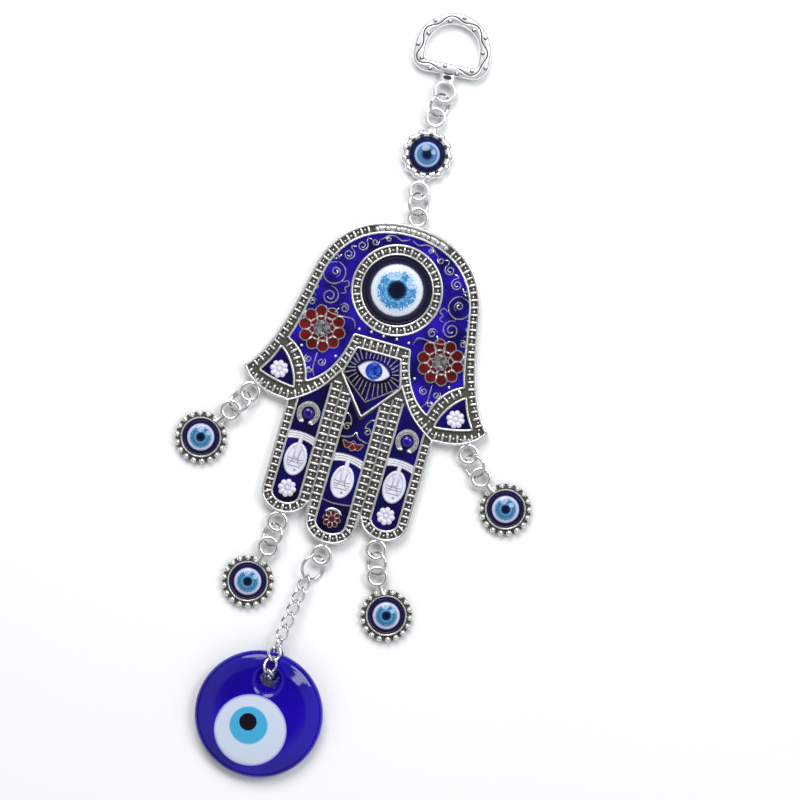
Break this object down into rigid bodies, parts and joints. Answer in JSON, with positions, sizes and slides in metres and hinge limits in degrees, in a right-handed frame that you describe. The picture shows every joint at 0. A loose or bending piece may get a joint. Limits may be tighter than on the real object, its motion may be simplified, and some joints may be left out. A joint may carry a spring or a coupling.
{
  "type": "evil eye wall ornament",
  "caption": "Cast hamsa hand ornament with enamel and a domed eye, hung from a D-shaped hanger, with small eye charms and a glass eye on a chain below it.",
  "frame": {"origin": "centre of the hand's back face, on the surface the ornament lies on", "axes": "+Y up the hand towards the hanger, +Z out of the front, +X to the viewer's right"},
  "size_m": [0.1002, 0.2163, 0.0088],
  "materials": {
    "cast_silver": "antique silver plate on cast zinc, dark in the recesses",
    "ring_wire": "bright plated wire",
    "chain_wire": "bright plated wire",
    "navy_enamel": "glossy cold enamel",
    "red_enamel": "glossy cold enamel",
    "white_enamel": "glossy cold enamel",
    "eye_dome": "glossy cast resin with a printed eye",
    "grey_stone": "faceted, foiled",
    "blue_stone": "faceted, foiled",
    "cobalt_glass": "polished by fire",
    "white_glass": "polished by fire",
    "sky_glass": "polished by fire",
    "black_glass": "polished by fire"
  },
  "bodies": {
    "hanger": {"hanger": "cast_silver"},
    "upper_ring": {"upper_jump_ring": "ring_wire"},
    "connector": {"connector_setting": "cast_silver", "connector_cabochon": "eye_dome"},
    "lower_ring": {"lower_jump_ring": "ring_wire"},
    "hand": {"hand_plate": "cast_silver", "palm_enamel": "navy_enamel", "eye_panel_enamel": "navy_enamel", "left_thumb_enamel": "navy_enamel", "right_thumb_enamel": "navy_enamel", "left_finger_enamel": "navy_enamel", "middle_finger_enamel": "navy_enamel", "right_finger_enamel": "navy_enamel", "left_flower_enamel": "red_enamel", "right_flower_enamel": "red_enamel", "middle_flower_enamel": "red_enamel", "white_fish_enamel": "white_enamel", "white_flower_enamel": "white_enamel", "almond_enamel": "white_enamel", "eye_cabochon": "eye_dome", "left_flower_stone": "grey_stone", "right_flower_stone": "grey_stone", "eye_stone": "blue_stone"},
    "left_thumb_ring": {"left_thumb_ring": "ring_wire"},
    "left_thumb_charm": {"left_thumb_charm": "cast_silver", "left_thumb_cabochon": "eye_dome"},
    "right_thumb_ring": {"right_thumb_ring": "ring_wire"},
    "right_thumb_charm": {"right_thumb_charm": "cast_silver", "right_thumb_cabochon": "eye_dome"},
    "left_finger_ring": {"left_finger_ring": "ring_wire"},
    "left_finger_charm": {"left_finger_charm": "cast_silver", "left_finger_cabochon": "eye_dome"},
    "right_finger_ring": {"right_finger_ring": "ring_wire"},
    "right_finger_charm": {"right_finger_charm": "cast_silver", "right_finger_cabochon": "eye_dome"},
    "chain_ring": {"chain_jump_ring": "ring_wire"},
    "link_1": {"chain_link_1": "chain_wire"},
    "link_2": {"chain_link_2": "chain_wire"},
    "link_3": {"chain_link_3": "chain_wire"},
    "link_4": {"chain_link_4": "chain_wire"},
    "link_5": {"chain_link_5": "chain_wire"},
    "rim_ring": {"rim_ring": "ring_wire"},
    "glass_eye": {"glass_bead": "cobalt_glass", "glass_white": "white_glass", "glass_sky": "sky_glass", "glass_pupil": "black_glass", "front_link": "chain_wire", "hook_link": "chain_wire", "hole_link": "chain_wire", "hole_back_link": "chain_wire", "back_link": "chain_wire", "rim_back_link": "chain_wire"}
  },
  "joints": [
    {"name": "upper_ring_swing", "type": "hinge", "parent": "hanger", "child": "upper_ring", "pos_m": [-0.00241, 0.08233, 0.0023], "axis": [0, 0, 1], "range_deg": [-45, 45]},
    {"name": "connector_swing", "type": "hinge", "parent": "upper_ring", "child": "connector", "pos_m": [-0.00268, 0.07854, 0.0023], "axis": [0.5864, -0.041, 0.809], "range_deg": [-30, 30]},
    {"name": "lower_ring_swing", "type": "hinge", "parent": "connector", "child": "lower_ring", "pos_m": [-0.00174, 0.05439, 0.0023], "axis": [0, 0, 1], "range_deg": [-45, 45]},
    {"name": "hand_swing", "type": "hinge", "parent": "lower_ring", "child": "hand", "pos_m": [-0.00087, 0.05089, 0.0023], "axis": [0.5703, 0.1422, 0.809], "range_deg": [-30, 30]},
    {"name": "left_thumb_ring_swing", "type": "hinge", "parent": "hand", "child": "left_thumb_ring", "pos_m": [-0.031, -0.0109, 0.0023], "axis": [0, 0, 1], "range_deg": [-45, 20]},
    {"name": "left_thumb_charm_swing", "type": "hinge", "parent": "left_thumb_ring", "child": "left_thumb_charm", "pos_m": [-0.03283, -0.014, 0.0023], "axis": [-0.5065, 0.2983, 0.809], "range_deg": [-30, 15]},
    {"name": "right_thumb_ring_swing", "type": "hinge", "parent": "hand", "child": "right_thumb_ring", "pos_m": [0.031, -0.0109, 0.0023], "axis": [0, 0, 1], "range_deg": [-30, 45]},
    {"name": "right_thumb_charm_swing", "type": "hinge", "parent": "right_thumb_ring", "child": "right_thumb_charm", "pos_m": [0.03349, -0.0135, 0.0023], "axis": [-0.4242, -0.4068, 0.809], "range_deg": [-20, 30]},
    {"name": "left_finger_ring_swing", "type": "hinge", "parent": "hand", "child": "left_finger_ring", "pos_m": [-0.014, -0.0429, 0.0023], "axis": [0, 0, 1], "range_deg": [-40, 8]},
    {"name": "left_finger_charm_swing", "type": "hinge", "parent": "left_finger_ring", "child": "left_finger_charm", "pos_m": [-0.01429, -0.04649, 0.0023], "axis": [-0.5859, 0.0471, 0.809], "range_deg": [-30, 6]},
    {"name": "right_finger_ring_swing", "type": "hinge", "parent": "hand", "child": "right_finger_ring", "pos_m": [0.014, -0.0429, 0.0023], "axis": [0, 0, 1], "range_deg": [-8, 40]},
    {"name": "right_finger_charm_swing", "type": "hinge", "parent": "right_finger_ring", "child": "right_finger_charm", "pos_m": [0.01512, -0.04632, 0.0023], "axis": [-0.5584, -0.1836, 0.809], "range_deg": [-6, 30]},
    {"name": "chain_ring_swing", "type": "hinge", "parent": "hand", "child": "chain_ring", "pos_m": [0, -0.0483, 0.0023], "axis": [0, 0, 1], "range_deg": [-14, 14]},
    {"name": "link_1_swing", "type": "hinge", "parent": "chain_ring", "child": "link_1", "pos_m": [-0.00115, -0.05208, 0.0023], "axis": [0.5208, -0.1592, 0.8387], "range_deg": [-15, 15]},
    {"name": "link_2_lift", "type": "hinge", "parent": "link_1", "child": "link_2", "pos_m": [-0.00256, -0.05846, 0.00273], "axis": [-0.8223, 0.0297, -0.5683], "range_deg": [-18, 18]},
    {"name": "link_3_swing", "type": "hinge", "parent": "link_2", "child": "link_3", "pos_m": [-0.00304, -0.06207, 0.00323], "axis": [-0.5541, 0.1852, 0.8116], "range_deg": [-10, 10]},
    {"name": "link_4_lift", "type": "hinge", "parent": "link_3", "child": "link_4", "pos_m": [-0.00351, -0.06568, 0.00373], "axis": [-0.8223, 0.0297, -0.5683], "range_deg": [-18, 18]},
    {"name": "link_5_swing", "type": "hinge", "parent": "link_4", "child": "link_5", "pos_m": [-0.00399, -0.06929, 0.00423], "axis": [-0.5541, 0.1852, 0.8116], "range_deg": [-10, 10]},
    {"name": "rim_ring_swing", "type": "hinge", "parent": "link_5", "child": "rim_ring", "pos_m": [-0.00446, -0.07289, 0.00473], "axis": [-0.5541, 0.1852, 0.8116], "range_deg": [-8, 8]},
    {"name": "glass_eye_swing", "type": "hinge", "parent": "rim_ring", "child": "glass_eye", "pos_m": [-0.0044, -0.07452, 0.00452], "axis": [0.9607, -0.0527, 0.2726], "range_deg": [-15, 45]}
  ]
}
